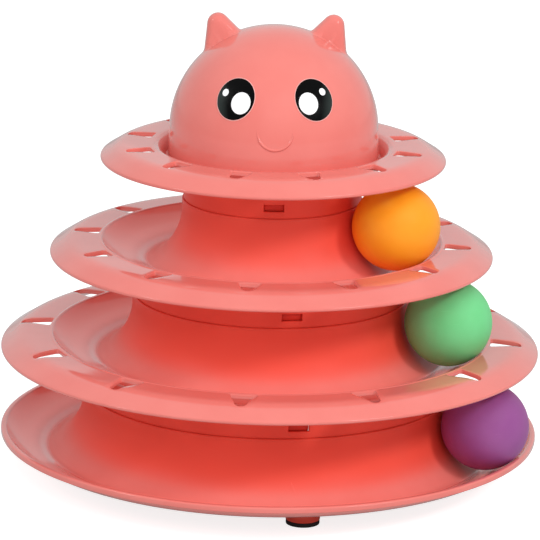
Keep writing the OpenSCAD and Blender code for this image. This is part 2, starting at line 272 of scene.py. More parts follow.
# outline of tier k's section as (radius, height)
def trackOutline(k):
    w, f, b, s, n = waistCentre(k), floorCentre(k), bankCentre(k), floorSlope(k), outlineSteps
    neck, seam, wall, e = tower["neckR"][k], tower["seamZ"][k], tower["wall"], tower["edgeR"]
    waistR, floorR, bankR, bead = tower["waistR"], tower["floorR"], tower["bankR"], tower["beadR"]
    lip, wEnd, bEnd = (tower["lipR"][k], tower["lipZs"][k] - bead), tower["waistTurn"] - 90, tower["bankTurn"]
    beadEnd = 180 - math.degrees(math.acos(1 - tower["beadRise"] / bead)) if k else 180
    underZ = tower["lipZs"][k] - (tower["beadRise"] + tower["brimT"] if k else tower["lipH"])
    underStart = math.degrees(math.acos((b[1] - underZ) / (bankR + wall)))
    points = arc((neck - e, seam - e), e, 180, 90, n["edge"])
    points += straight((neck, seam - e), (neck, w[1]), n["neck"])
    points += arc(w, waistR, -90, wEnd, n["waist"]) + arc(f, floorR, wEnd, s, n["floor"])[1:]
    points += straight(points[-1], arcPoint(b, bankR, s), n["slope"]) + arc(b, bankR, s, bEnd, n["bank"])
    points += arc(lip, bead, 180 + bEnd, beadEnd, n["bead"])[1:]
    points += brimOutline(k) if k else lipOutline()
    points += arc(b, bankR + wall, underStart, s, n["under"])
    if k:
        points += collarOutline(k, points[-1], arcPoint(f, floorR + wall, s))
    points += arc(f, floorR + wall, s, wEnd, n["under"])
    points += arc(w, waistR + wall, wEnd, -90, n["underWaist"])[1:]
    return points + arc((neck - wall + e, seam - e), e, 270, 180, n["edge"])


# outline of the brim under the head: its seat plate, the crest round the head, the brim and the collar
def topOutline():
    crestR, t, down, n = tower["crestR"], tower["brimT"], 180 + tower["crestTurn"], outlineSteps
    crest = (tower["lipR"][3], tower["lipZs"][3] - tower["beadRise"] - crestR)
    inner, seat = tower["collarR"][2] + tower["collarFlare"] - tower["wall"], tower["seat"]

    def slopeFoot(radius, z):
        r, high = arcPoint(crest, radius, down)
        return (r - (high - z) / math.tan(math.radians(tower["crestTurn"])), z)

    foot, under = slopeFoot(crestR, seat), slopeFoot(crestR - t, seat - t)
    points = [(inner, seat)] + straight((inner, seat), foot, n["seat"]) + [foot]
    points += arc(crest, crestR, down, 180, n["crest"]) + brimOutline(3)
    points += arc(crest, crestR - t, 180, down, n["underCrest"]) + [under]
    return points + collarOutline(3, under, (inner, seat - t))[:-1]


# snap windows in the collars
windows = {
    "count": 3,
    "azimuth": [9.2, 8.9, 1.0],
    "width": 9.5,
    "z": 3.3,  # of their lower edge, over the collar's foot
    "height": 3.4,
    "edge": 0.2,
    "rows": (5, 3, 3),  # grid rows above, beside and below them
    "reach": 4.2,  # grid columns that are turned to meet a side of theirs
    "between": (0.6, 14.0),  # heights of the turned part of the grid, over the collar's foot
    "near": 0.2,  # tolerance on the collar's walls
    "flat": 0.5,  # upright part of a normal, from which a face isn't a wall
}


# heights of the rows down a collar on neck k from height top, two of them along the windows' edges
def collarRows(k, top):
    base = tower["seamZ"][k]
    low, high = base + windows["z"], base + windows["z"] + windows["height"]
    above, beside, below = windows["rows"]
    rows = [top + (high - top) * i / above for i in range(1, above + 1)]
    rows += [high + (low - high) * i / beside for i in range(1, beside + 1)]
    return rows + [low + (base - low) * i / below for i in range(1, below)]


# mesh helpers

sharpAngle = 38  # degrees between two faces, from which their edge is shaded sharp


def newObject(name, bm, material):  # takes one material or a list of them
    mesh = bpy.data.meshes.new(name)
    bm.to_mesh(mesh)
    bm.free()
    for m in (material if isinstance(material, list) else [material]):
        mesh.materials.append(m)
    made = bpy.data.objects.new(name, mesh)
    bpy.context.scene.collection.objects.link(made)
    return made


def newPiece(name, bm, material, body, *nodes):
    bmesh.ops.recalc_face_normals(bm, faces=bm.faces)
    for edge in bm.edges:
        edge.smooth = not (edge.is_manifold and edge.calc_face_angle(0) > math.radians(sharpAngle))
    for face in bm.faces:
        face.smooth = True
    piece = newObject(name, bm, material)
    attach(piece, body)
    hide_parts(*nodes)
    return piece


def vertsOf(result):  # of what a bmesh operator returns
    return [g for g in result["geom"] if isinstance(g, bmesh.types.BMVert)]


def openEdges(bm):
    return [e for e in bm.edges if e.is_boundary]


# turns a closed outline about the tower's axis from an azimuth on, one sector first and then its copies
def turned(outline, azimuth, sectors, columns):
    bm = bmesh.new()
    verts = [bm.verts.new(spot(azimuth, r, z)) for r, z in outline]
    edges = [bm.edges.new(pair) for pair in zip(verts, verts[1:] + verts[:1])]
    angle = 2 * math.pi / sectors
    bmesh.ops.spin(bm, geom=verts + edges, axis=(0, 0, 1), cent=(0, 0, 0), angle=angle, steps=columns)
    sector = bm.verts[:] + bm.edges[:] + bm.faces[:]
    for n in range(1, sectors):
        copy = bmesh.ops.duplicate(bm, geom=sector)
        turn = Matrix.Rotation(2 * math.pi * n / sectors, 3, "Z")
        bmesh.ops.rotate(bm, verts=vertsOf(copy), cent=(0, 0, 0), matrix=turn)
    bmesh.ops.remove_doubles(bm, verts=bm.verts, dist=1e-6)
    return bm


# joins each boundary loop with the nearest one across the wall
def bridgeRims(bm, rim):
    loops, left = [], set(rim)
    for first in rim:
        if first not in left:
            continue
        left.discard(first)
        loop, ends = [first], [first.verts[1]]
        while ends:
            v = ends.pop()
            for e in v.link_edges:
                if e in left:
                    left.discard(e)
                    loop.append(e)
                    ends.append(e.other_vert(v))
        loops.append(loop)
    centres = [sum((v.co for e in loop for v in e.verts), Vector()) / (2 * len(loop)) for loop in loops]
    free = list(range(len(loops)))
    while free:
        a = free.pop(0)
        b = min(free, key=lambda n: (centres[n] - centres[a]).length)
        free.remove(b)
        bmesh.ops.bridge_loops(bm, edges=loops[a] + loops[b])


# deletes faces on both sides of a wall, walls in the openings there and returns their edges
def openWall(bm, faces):
    bmesh.ops.delete(bm, geom=faces, context="FACES")
    bmesh.ops.delete(bm, geom=[v for v in bm.verts if not v.link_faces], context="VERTS")
    rim = openEdges(bm)
    bridgeRims(bm, rim)
    return rim


# points of the grid's square round a hole, in grid steps, and the places on its outline that they go to
def holePulls(k):
    half, pulls = holes["half"], []
    for n, (x, y) in enumerate(holeOutline(k)):
        side, step = divmod(n, 2 * half)
        i = [step - half, half, half - step, -half][side]
        j = [-half, step - half, half, half - step][side]
        pulls.append((i, j, x, y))
    return pulls


# opens the holes of brim k in its turned grid
def cutHoles(bm, k):
    half, fade = holes["half"], 2 * holes["half"]
    start = tower["lipR"][k] + holes["inset"]
    step = holes["length"][k] / (2 * half)
    pitch = 360 / holes["count"]
    column = pitch / holes["columns"][k]
    width = math.radians(column) * (start + step * half)
    pulls = holePulls(k)
    gone, edgeVerts = set(), set()
    for v in bm.verts:
        r, z, azimuth = radiusOf(v.co), v.co.z / mm, azimuthOf(v.co)
        if r < start - tolerance["row"]:
            continue
        under = z < brimHeight(k, r, False) - tower["brimT"] / 2
        if abs(z - brimHeight(k, r, under)) > tolerance["side"]:
            continue
        fromFirst = within(azimuth - holes["azimuth"][k])
        across = (fromFirst - round(fromFirst / pitch) * pitch) / column
        along = (r - start) / step - half
        ring = max(abs(across), abs(along))
        if ring > fade:
            continue
        if ring < half - tolerance["ring"]:
            gone.add(v)
            continue
        place = ringPlace(across * half / ring, along * half / ring) * 2 * half
        n, part = int(place), place - int(place)
        a, c = pulls[n % len(pulls)], pulls[(n + 1) % len(pulls)]
        dx = (a[2] - a[0] * width) * (1 - part) + (c[2] - c[0] * width) * part
        dy = (a[3] - (a[1] + half) * step) * (1 - part) + (c[3] - (c[1] + half) * step) * part
        share = 1.0
        if ring < half + tolerance["ring"]:
            edgeVerts.add(v)
        else:
            share = (1 - (ring - half) / (fade - half)) ** holes["fade"]
        r += dy * share
        v.co = spot(azimuth + math.degrees(dx * share / r), r, brimHeight(k, r, under))
    return openWall(bm, [f for f in bm.faces if all(v in gone or v in edgeVerts for v in f.verts)])


def insideCollar(v, k):
    z = v.co.z / mm - tower["seamZ"][k]
    inner, outer = tower["collarR"][k] - tower["wall"], tower["collarR"][k] + tower["collarFlare"]
    low, high = windows["between"]
    return low < z < high and inner - windows["near"] < radiusOf(v.co) < outer + windows["near"]


# opens the windows of the collar that stands on neck k
def cutWindows(bm, k):
    half = math.degrees(math.asin(windows["width"] / 2 / tower["neckR"][k]))
    low = tower["seamZ"][k] + windows["z"]
    high = low + windows["height"]
    centres = evenly(windows["azimuth"][k], windows["count"])
    collar = [v for v in bm.verts if insideCollar(v, k)]
    columns = sorted({round(azimuthOf(v.co), 4) for v in collar})
    moves = []  # column nearest to each side of a window, and its turn to get there
    for centre in centres:
        for side in (-1, 1):
            target = within(centre + side * half)
            nearest = min(columns, key=lambda c: abs(within(c - target)))
            moves.append((nearest, within(target - nearest)))
    reach = windows["reach"] * min(abs(within(b - a)) for a, b in zip(columns, columns[1:]))
    for v in collar:
        azimuth = azimuthOf(v.co)
        turn = sum(move * clamped(1 - abs(within(azimuth - column)) / reach) for column, move in moves)
        if turn:
            v.co = Matrix.Rotation(math.radians(turn), 3, "Z") @ v.co
    walls = {f for v in collar for f in v.link_faces}

    def inWindow(face):
        c = face.calc_center_median()
        if not low < c.z / mm < high or abs(face.normal.z) > windows["flat"]:
            return False
        return any(abs(within(azimuthOf(c) - centre)) < half for centre in centres)

    return openWall(bm, [f for f in bm.faces if f in walls and inWindow(f)])


def addTo(bm, small):  # joins a small mesh to a larger one
    mesh = bpy.data.meshes.new("joining")
    small.to_mesh(mesh)
    small.free()
    bm.from_mesh(mesh)
    bpy.data.meshes.remove(mesh)


def softenEdges(bm, edges, width, segments=2):
    edges = [e for e in edges if e.is_valid]
    bmesh.ops.bevel(bm, geom=edges, offset=width * mm, offset_type="OFFSET", segments=segments,
                    profile=0.5, affect="EDGES", material=-1)


# snap hooks that stand in the windows: a leg on the neck, a tongue up to the window and a nose into it
hooks = {
    "thick": 1.5,
    "root": 8.0,  # from the seam down to the leg's foot
    "gap": 0.25,  # to the collar's wall and to the window's edges
    "sideGap": 0.08,
    "noseIn": 1.2,  # from the collar's face in to the nose
    "tongueUp": 1.0,  # from the leg's foot up to the tongue's
    "noseBack": 0.2,
    "edge": 0.2,
    "columns": 8,
}


# block with curved faces, between two radii and two heights, centred on an azimuth
def addCurvedBlock(bm, azimuth, angle, r1, r2, z1, z2):
    block = bmesh.new()
    corners = ((r1, z1), (r2, z1), (r2, z2), (r1, z2))
    face = block.faces.new([block.verts.new(spot(azimuth - angle / 2, r, z)) for r, z in corners])
    bmesh.ops.spin(block, geom=[face], axis=(0, 0, 1), cent=(0, 0, 0), angle=math.radians(angle),
                   steps=hooks["columns"])
    bmesh.ops.contextual_create(block, geom=openEdges(block))
    bmesh.ops.recalc_face_normals(block, faces=block.faces)
    sharp = [e for e in block.edges if e.is_manifold and e.calc_face_angle(0) > 1.0]
    softenEdges(block, sharp, hooks["edge"])
    addTo(bm, block)


def addHooks(bm, k):
    neck, seam, collar, gap = tower["neckR"][k], tower["seamZ"][k], tower["collarR"][k], hooks["gap"]
    out = collar - tower["wall"] - gap
    back, root = out - hooks["thick"], seam - hooks["root"]
    low, top = seam + windows["z"] + gap, seam + windows["z"] + windows["height"] - gap
    angle = 2 * math.degrees(math.asin((windows["width"] / 2 - hooks["sideGap"]) / neck))
    for azimuth in evenly(windows["azimuth"][k], windows["count"]):
        addCurvedBlock(bm, azimuth, angle, back, neck - tower["wall"] / 2, root, seam - gap)
        addCurvedBlock(bm, azimuth, angle, back, out, root + hooks["tongueUp"], top)
        addCurvedBlock(bm, azimuth, angle, back + hooks["noseBack"], collar - hooks["noseIn"], low, top)


# shaders

# an output of a shader node that can be used in sums and products
class Signal:
    def __init__(self, tree, socket):
        self.tree = tree
        self.socket = socket

    def math(self, operation, *values):
        return addNode(self.tree, "Math", {"operation": operation}, dict(enumerate(values)))

    def __add__(self, other):
        return self.math("ADD", self, other)

    def __sub__(self, other):
        return self.math("SUBTRACT", self, other)

    def __rsub__(self, other):
        return self.math("SUBTRACT", other, self)

    def __mul__(self, other):
        return self.math("MULTIPLY", self, other)

    __radd__ = __add__
    __rmul__ = __mul__

    def ramp(self, low, high):  # 0 at low, 1 at high, smooth between
        return addNode(self.tree, "MapRange", {"interpolation_type": "SMOOTHSTEP"},
                       {"Value": self, "From Min": low, "From Max": high})


def setInputs(tree, node, inputs):
    for key, value in inputs.items():
        if isinstance(value, Signal):
            tree.links.new(value.socket, node.inputs[key])
        else:
            node.inputs[key].default_value = value


def addNode(tree, kind, settings=None, inputs=None, output=0):
    node = tree.nodes.new("ShaderNode" + kind)
    for key, value in (settings or {}).items():
        setattr(node, key, value)
    setInputs(tree, node, inputs or {})
    return Signal(tree, node.outputs[output])


def objectPlace(tree):
    return addNode(tree, "TexCoord", output="Object")


def addNoise(tree, place, scale, detail):
    return addNode(tree, "TexNoise", None, {"Vector": place, "Scale": scale, "Detail": detail})


def addBump(tree, distance, height):
    return addNode(tree, "Bump", None, {"Strength": 1.0, "Distance": distance, "Height": height})


def vertexValue(tree, name):
    return addNode(tree, "Attribute", {"attribute_name": name}, output="Fac")


def mixColour(tree, share, a, b):  # the sockets of a colour mix are its inputs 0, 6 and 7 and its output 2
    return addNode(tree, "Mix", {"data_type": "RGBA"}, {0: share, 6: a, 7: b}, 2)


def linear(red, green, blue):  # screen colour, 0 to 255, as a shader colour
    values = [c / 255 for c in (red, green, blue)]
    return tuple(c / 12.92 if c <= 0.04045 else ((c + 0.055) / 1.055) ** 2.4 for c in values) + (1.0,)


def newMaterial(name):
    material = bpy.data.materials.new(name)
    material.use_nodes = True
    tree = material.node_tree
    return material, tree, tree.nodes["Principled BSDF"]


pinkLook = {
    "dark": (231, 121, 112), "light": (234, 127, 118), "worn": (246, 148, 138),
    "roughness": 0.15, "roughSpread": 0.05, "ior": 1.3, "coat": 1.0, "coatRoughness": 0.08,
    "mottleScale": 38.0, "mottleDetail": 3.0, "mottleAt": (0.3, 0.7),
    "fineScale": 420.0, "fineDetail": 2.0,
    "scratch": 0.05, "scratchScale": 3.0, "scratchDetail": 4.0, "scratchAt": (0.66, 0.74),
    "scratchRough": 0.4, "scratchStretch": (40.0, 40.0, 900.0), "scratchTurn": (0.5, 0.3, 0.0),
    "bump": 0.00001, "bumpShares": (0.7, 0.3, 0.2),  # of the fine noise, the mottle and the scratches
}

# painted light and shade by depth in the tower: banks get painted light, a paler pink, and waists, collars
# and hooks get painted shade, a redder pink that is darkest on the hooks; both are also less polished
pinkPaintedLightAndShade = {
    "bank": (252, 146, 136), "bankAt": (0.0, 0.4), "bankCoat": 0.45,
    "deep": (245, 88, 70), "deepAt": (0.2, 1.0), "darkestPaintedShade": (222, 56, 40),
    "rough": 0.25, "roughAt": (0.0, 0.3), "coatAt": (0.0, 0.2),
}


# moulded plastic with a faint mottle, fine scratches and a little dust in its roughness; given a depth table,
# it also gets painted shade and painted light from the vertices' depth
def plastic(name, look, depth=None):
    material, tree, shader = newMaterial(name)
    place = objectPlace(tree)
    mottle = addNoise(tree, place, look["mottleScale"], look["mottleDetail"])
    fine = addNoise(tree, place, look["fineScale"], look["fineDetail"])
    stretched = addNode(tree, "Mapping", None, {"Vector": place, "Scale": look["scratchStretch"],
                                                "Rotation": look["scratchTurn"]})
    scratch = addNoise(tree, stretched, look["scratchScale"], look["scratchDetail"]).ramp(*look["scratchAt"])
    colour = mixColour(tree, mottle.ramp(*look["mottleAt"]), linear(*look["dark"]), linear(*look["light"]))
    colour = mixColour(tree, scratch * look["scratch"], colour, linear(*look["worn"]))
    roughness = look["roughness"] + (mottle - 0.5) * look["roughSpread"]
    roughness = roughness + scratch * look["scratch"] * look["scratchRough"]
    coat = look["coat"]
    if depth:
        # painted shade where the depth is high, painted light on the banks where it is below 0
        deep = vertexValue(tree, "depth")
        pale = deep * -1
        colour = mixColour(tree, pale.ramp(*depth["bankAt"]), colour, linear(*depth["bank"]))
        colour = mixColour(tree, deep.ramp(*depth["deepAt"]), colour, linear(*depth["deep"]))
        colour = mixColour(tree, deep - 1, colour, linear(*depth["darkestPaintedShade"]))
        roughness = roughness + deep.ramp(*depth["roughAt"]) * depth["rough"]
        coat = coat - deep.ramp(*depth["coatAt"])
        coat = coat - pale.ramp(*depth["coatAt"]) * depth["bankCoat"]
    fineShare, mottleShare, scratchShare = look["bumpShares"]
    height = fine * fineShare + mottle * mottleShare - scratch * scratchShare * look["scratch"]
    setInputs(tree, shader, {"Base Color": colour, "Roughness": roughness,
                             "Normal": addBump(tree, look["bump"], height), "IOR": look["ior"],
                             "Coat Weight": coat, "Coat Roughness": look["coatRoughness"]})
    return material


pink = plastic("pinkPlastic", pinkLook, pinkPaintedLightAndShade)
print("materials made")


# trays

# depths that set how much painted shade, or below 0 painted light, each part of the trays gets
depths = {
    "hook": 2.0,
    "neck": 1.0,
    "waist": [1.0, 1.0, 0.85],
    "waistW": 13.5,  # from the neck out to the floor's depth
    "floor": 0.2,
    "bank": 0.6,  # how far below the floor's depth the banks end
    "bankRun": 15.5,  # from the neck out to the banks
    "bankW": 9.5,
    "crevice": 0.3,  # round the foot of the head
    "creviceIn": 3.0,  # from the top brim's lip in to the crevice
    "hookUp": 1.0,  # hooks start this far above the seam and inside the collar
    "hookIn": 0.5,
    "underDrop": 0.5,  # necks and collars start this far below the floor's underside
}


# how deep inside the tower a point of tier k lies, which sets its painted shade and light and its gloss: 2 on
# the hooks, 1 on collars and necks, 0 on the brims, and below 0 on the banks, the outer sides of the
# channels, which get painted light
def tierDepth(k, r, z):
    if k < 3 and z > tower["seamZ"][k] + depths["hookUp"] and r < tower["collarR"][k] - depths["hookIn"]:
        return depths["hook"]
    if z < tower["lipZs"][k] - tower["floorDrop"] - tower["wall"] - depths["underDrop"]:
        return depths["neck"]
    if k == 3:
        return depths["crevice"] if r < tower["lipR"][k] - depths["creviceIn"] else 0.0
    if r > tower["lipR"][k] - tower["beadR"]:
        return 0.0
    run = r - tower["neckR"][k]
    t = clamped(1 - run / depths["waistW"])
    bank = clamped((run - depths["bankRun"]) / depths["bankW"])
    return max(depths["floor"], t * t * (3 - 2 * t) * depths["waist"][k]) - depths["bank"] * bank


def addDepth(piece, k):
    values = [tierDepth(k, radiusOf(v.co), v.co.z / mm) for v in piece.data.vertices]
    piece.data.attributes.new("depth", "FLOAT", "POINT").data.foreach_set("value", values)


feet = {
    "count": 4, "azimuth": 10.5, "placeR": 90.0, "radius": 7.85, "sides": 64,
    "postTop": 24.0, "edge": 0.5,  # of the posts, which are part of the base tray
    "pad": 2.0, "padIn": 0.2, "padEdge": 0.3, "treadIn": 1.6, "treadW": 0.8, "treadDepth": 0.4,
}


def addPosts(bm):
    w = waistCentre(0)
    reach = tower["waistR"] + tower["wall"] / 2
    for azimuth in evenly(feet["azimuth"], feet["count"]):
        post = bmesh.new()
        place = Matrix.Translation(spot(azimuth, feet["placeR"], feet["pad"]))
        bmesh.ops.create_circle(post, cap_ends=True, segments=feet["sides"], radius=feet["radius"] * mm,
                                matrix=place)
        top = bmesh.ops.extrude_face_region(post, geom=post.faces[:])
        for v in vertsOf(top):  # ends inside the waist's wall, or at its full height under the neck
            r, z = radiusOf(v.co), feet["postTop"]
            if r > tower["neckR"][0] - 0.5:
                z = min(z, w[1] - math.sqrt(max(0.0, reach ** 2 - (w[0] - r) ** 2)))
            v.co.z = z * mm
        low = [e for e in post.edges if all(abs(v.co.z / mm - feet["pad"]) < 0.01 for v in e.verts)]
        softenEdges(post, low, feet["edge"])
        addTo(bm, post)


def buildTier(k, name, node):
    outline = trackOutline(k) if k < 3 else topOutline()
    bm = turned(outline, holes["azimuth"][k], holes["count"], holes["columns"][k])
    if k:
        softenEdges(bm, cutHoles(bm, k), holes["edge"])
        softenEdges(bm, cutWindows(bm, k - 1), windows["edge"], 1)
    if k < 3:
        addHooks(bm, k)
    if k == 0:
        addPosts(bm)
    piece = newPiece(name, bm, pink, "tower", node)
    addDepth(piece, k)


for k, (name, node) in enumerate((("baseTray", "base_tray"), ("lowerTray", "lower_tray"),
                                  ("upperTray", "upper_tray"), ("topBrim", "top_brim"))):
    buildTier(k, name, node)
    print(name, "built")


# head

head = {
    "radius": 48.4, "z": 161.8, "wall": 1.8,
    "flare": 0.4, "edge": 0.7,  # of the skirt under the dome
    "sectors": 12, "columns": 26,
    "rows": 150, "innerRows": 30, "skirtRows": 6, "innerSkirtRows": 4, "edgeRows": 4,
    "earX": 26.6, "earY": 3.0, "earTop": 215.4, "earTipR": 5.0, "earL": 24.0,
    "earLean": 20.0, "earHalf": 25.5, "earBlend": 1.2, "facetBlend": 1.6,
    "earFrom": 20.0,  # height over the dome's middle from which its skin is pulled out to the ears
    "earReach": 24.0, "walkSteps": 90, "walkShare": 0.7,
    "smileR": 8.1, "smileRise": 8.9, "smileW": 0.7, "smileX": 0.7, "smileOut": 0.5, "smileTurn": 194.0,
    "smileTip": 0.35, "smileTaper": 3, "smileSteps": 40, "smileSides": 10,
}


def roundCone(p, a, b, r1, r2):  # distance from a cone with round ends
    ba = b - a
    l2 = ba @ ba
    rr = r1 - r2
    a2 = l2 - rr * rr
    pa = p - a
    y = pa @ ba
    z = y - l2
    x2 = ((pa * l2 - y[:, None] * ba) ** 2).sum(axis=1)
    y2, z2 = y * y * l2, z * z * l2
    k = np.sign(rr) * rr * rr * x2
    side = (np.sqrt(x2 * a2 / l2) + y * rr) / l2 - r1
    far = np.sqrt(x2 + z2) / l2 - r2
    near = np.sqrt(x2 + y2) / l2 - r1
    return np.where(np.sign(z) * a2 * z2 > k, far, np.where(np.sign(y) * a2 * y2 < k, near, side))


def smoothMin(a, b, k):
    h = np.clip(0.5 + 0.5 * (b - a) / k, 0, 1)
    return b * (1 - h) + a * h - k * h * (1 - h)


# distance from the head's outer surface, in millimetres
def headField(p):
    centre = np.array([0, 0, head["z"]])
    field = np.linalg.norm(p - centre, axis=1) - head["radius"]
    lean = math.radians(head["earLean"])
    for side in (-1, 1):
        tip = np.array([side * head["earX"], head["earY"], head["earTop"] - head["earTipR"]])
        foot = tip + head["earL"] * np.array([-side * math.sin(lean), 0, -math.cos(lean)])
        wide = head["earTipR"] + head["earL"] * math.sin(math.radians(head["earHalf"]))
        ear = roundCone(p, tip, foot, head["earTipR"], wide)
        front = (head["earY"] - head["earTipR"]) - p[:, 1]
        ear = -smoothMin(-ear, -front, head["facetBlend"])
        field = smoothMin(field, ear, head["earBlend"])
    return field


# pulls the upper skin of the dome out to the ears, along rays from the dome's middle
def pullEars(bm):
    centre, r = np.array([0, 0, head["z"]]), head["radius"]
    upper = [v for v in bm.verts if v.co.z / mm > head["z"] + head["earFrom"]]
    moved = [v for v in upper if (v.co / mm - Vector(centre)).length > r - 0.5]
    rays = np.array([v.co for v in moved]) / mm - centre
    rays /= np.linalg.norm(rays, axis=1)[:, None]
    reach = np.full(len(moved), r + head["earReach"])
    for _ in range(head["walkSteps"]):  # walks inwards to the surface
        gap = np.maximum(headField(centre + rays * reach[:, None]), 0)
        reach = np.maximum(reach - gap * head["walkShare"], r - 0.2)
    for v, ray, d in zip(moved, rays, reach):
        v.co = Vector(centre + ray * d) * mm


# raised line of the smile: a thin bead bent along a half circle on the head's front
def addSmile(bm):
    steps, sides, width = head["smileSteps"], head["smileSides"], head["smileW"]
    zMid = head["z"] + head["smileRise"]
    rings = []
    for i in range(steps + 1):
        a = math.radians(270 + head["smileTurn"] * (i / steps - 0.5))
        centre = Vector((head["smileX"] + head["smileR"] * math.cos(a), 0,
                         zMid + head["smileR"] * math.sin(a)))
        lift = max(0.0, centre.z - head["z"])
        centre.y = -math.sqrt(head["radius"] ** 2 - centre.x ** 2 - lift ** 2)
        out = Vector((centre.x, centre.y, lift)).normalized()
        along = Vector((-math.sin(a), 0, math.cos(a)))
        side = out.cross(along).normalized()
        thick = width * min(1.0, head["smileTip"] + head["smileTaper"] * min(i, steps - i) / steps)
        middle = centre - out * (width - head["smileOut"])
        rings.append([bm.verts.new((middle + thick * (out * math.cos(b) + side * math.sin(b))) * mm)
                      for b in [2 * math.pi * n / sides for n in range(sides)]])
    for a, b in zip(rings, rings[1:]):
        for n in range(sides):
            bm.faces.new((a[n], a[(n + 1) % sides], b[(n + 1) % sides], b[n]))
    bm.faces.new(rings[0])
    bm.faces.new(list(reversed(rings[-1])))


def buildHead():
    r, z, seat, e = head["radius"], head["z"], tower["seat"], head["edge"]
    low, innerR, innerLow = r + head["flare"], r - head["wall"], r + head["flare"] - head["wall"]
    outline = arc((low - e, seat + e), e, 0, 90, head["edgeRows"])
    outline += straight((low, seat + e), (r, z), head["skirtRows"])
    outline += [(r * math.cos(a), z + r * math.sin(a)) for a in np.linspace(0, math.pi / 2, head["rows"])]
    outline += [(innerR * math.cos(a), z + innerR * math.sin(a))
                for a in np.linspace(math.pi / 2, 0, head["innerRows"])]
    outline += straight((innerR, z), (innerLow, seat), head["innerSkirtRows"]) + [(innerLow, seat)]
    bm = turned(outline, 0, head["sectors"], head["columns"])
    pullEars(bm)
    addSmile(bm)
    piece = newPiece("catHead", bm, pink, "tower", "cat_head")


buildHead()
print("head built")


# eyes

# sizes in millimetres, and places on the dome as (azimuth, elevation)
eyes = {
    "width": 18.6, "height": 20.4, "spot": (9.2, 10.3), "speck": (3.1, 3.5),
    "film": (0.0, 0.25), "print": (0.2, 0.28),  # lowest and highest point over the dome
    "edge": 0.3,  # width of the pale ring round a film
    "bevelAt": 0.99, "bevel": 0.06, "rings": 8, "sides": 64,
    # the painted sheen is a painted reflection on the black film
    "paintedSheenGain": 1.6, "paintedSheenStart": 0.65, "paintedSheenDown": 0.25,  # it grows outwards and a little downwards
    "leftEye": {"node": "left_eye", "at": (-24.2, 27.6), "spotAt": (-20.2, 25.4), "speckAt": (-31.7, 30.2)},
    "rightEye": {"node": "right_eye", "at": (24.9, 28.0), "spotAt": (20.75, 25.9), "speckAt": (31.4, 31.7)},
}

# name, colour, colour where the film's painted sheen, a painted reflection, is 1, roughness and ior
inkLooks = [
    ("eyeBlack", (2, 2, 3), (52, 60, 58), 0.2, 1.2),
    ("eyeWhite", (250, 250, 252), (250, 250, 252), 0.3, 1.45),
    ("eyeEdge", (240, 176, 170), (240, 176, 170), 0.3, 1.45),
]
inkGrain = {"scale": 260.0, "detail": 3.0, "spread": 0.3, "rough": 0.1, "bump": 0.00001}


# printed ink of one colour, with a fine grain, mixed towards a second colour where the painted sheen, a
# painted reflection, lies
def ink(name, colour, paintedSheen, roughness, ior):
    material, tree, shader = newMaterial(name)
    grain = addNoise(tree, objectPlace(tree), inkGrain["scale"], inkGrain["detail"])
    share = vertexValue(tree, "paintedSheen") * (1 - inkGrain["spread"] / 2 + grain * inkGrain["spread"])
    setInputs(tree, shader, {"Base Color": mixColour(tree, share, linear(*colour), linear(*paintedSheen)),
                             "Roughness": roughness + grain * inkGrain["rough"],
                             "Normal": addBump(tree, inkGrain["bump"], grain), "IOR": ior})
    return material


def onDome(azimuth, elevation, radius):
    a, e = math.radians(azimuth), math.radians(elevation)
    return Vector((radius * math.cos(e) * math.sin(a), -radius * math.cos(e) * math.cos(a),
                   head["z"] + radius * math.sin(e))) * mm


# thin oval film lying on the dome; ink 0 has a painted sheen, a painted reflection growing towards its outer
# side, and a ring of ink 2 round its edge
def addFilm(bm, at, size, heights, index):
    paintedSheen = bm.verts.layers.float.get("paintedSheen") or bm.verts.layers.float.new("paintedSheen")
    centre = Vector((0, 0, head["z"])) * mm
    out = (onDome(at[0], at[1], 1) - centre).normalized()
    right = Vector((0, 0, 1)).cross(out).normalized()
    up = out.cross(right)
    low, high = heights
    rings, sides = eyes["rings"], eyes["sides"]
    edge = 1 - 2 * eyes["edge"] / size[0]
    levels = [(edge * n / rings, high) for n in range(1, rings + 1)]
    levels += [(eyes["bevelAt"], high), (1.0, high - eyes["bevel"]), (1.0, low)]
    made = []
    for share, height in levels:
        ring = []
        for n in range(sides):
            a = 2 * math.pi * n / sides
            x, y = size[0] / 2 * share * math.cos(a), size[1] / 2 * share * math.sin(a)
            depth = math.sqrt(head["radius"] ** 2 - x * x - y * y)
            ray = (out * depth + right * x + up * y).normalized()
            v = bm.verts.new(centre + ray * (head["radius"] + height) * mm)
            # painted reflection on the black ink, lighter towards the outer side
            outward = math.copysign(1, at[0]) * share * math.cos(a) - eyes["paintedSheenDown"] * share * math.sin(a)
            v[paintedSheen] = clamped(outward * eyes["paintedSheenGain"] - eyes["paintedSheenStart"]) if index == 0 else 0.0
            ring.append(v)
        made.append(ring)
    bm.faces.new(made[0]).material_index = index
    for i, (a, b) in enumerate(zip(made, made[1:])):
        for n in range(sides):
            face = bm.faces.new((a[n], b[n], b[(n + 1) % sides], a[(n + 1) % sides]))
            face.material_index = 2 if index == 0 and i >= rings - 1 else index
    bm.faces.new(list(reversed(made[-1]))).material_index = index


inks = [ink(*look) for look in inkLooks]
for name in ("leftEye", "rightEye"):
    bm = bmesh.new()
    eye = eyes[name]
    addFilm(bm, eye["at"], (eyes["width"], eyes["height"]), eyes["film"], 0)
    addFilm(bm, eye["spotAt"], eyes["spot"], eyes["print"], 1)
    addFilm(bm, eye["speckAt"], eyes["speck"], eyes["print"], 1)
    piece = newPiece(name, bm, inks, "tower", eye["node"])
print("eyes built")


# balls

ballSizes = {
    "gap": 1.2,  # between the radii of ball and bank
    "sink": 0.25,  # of the gap, by which a ball sits below the bank's middle
    "seam": 0.12, "seamWidth": 0.5, "tilt": (58, 25), "columns": 128, "rows": 96,
}

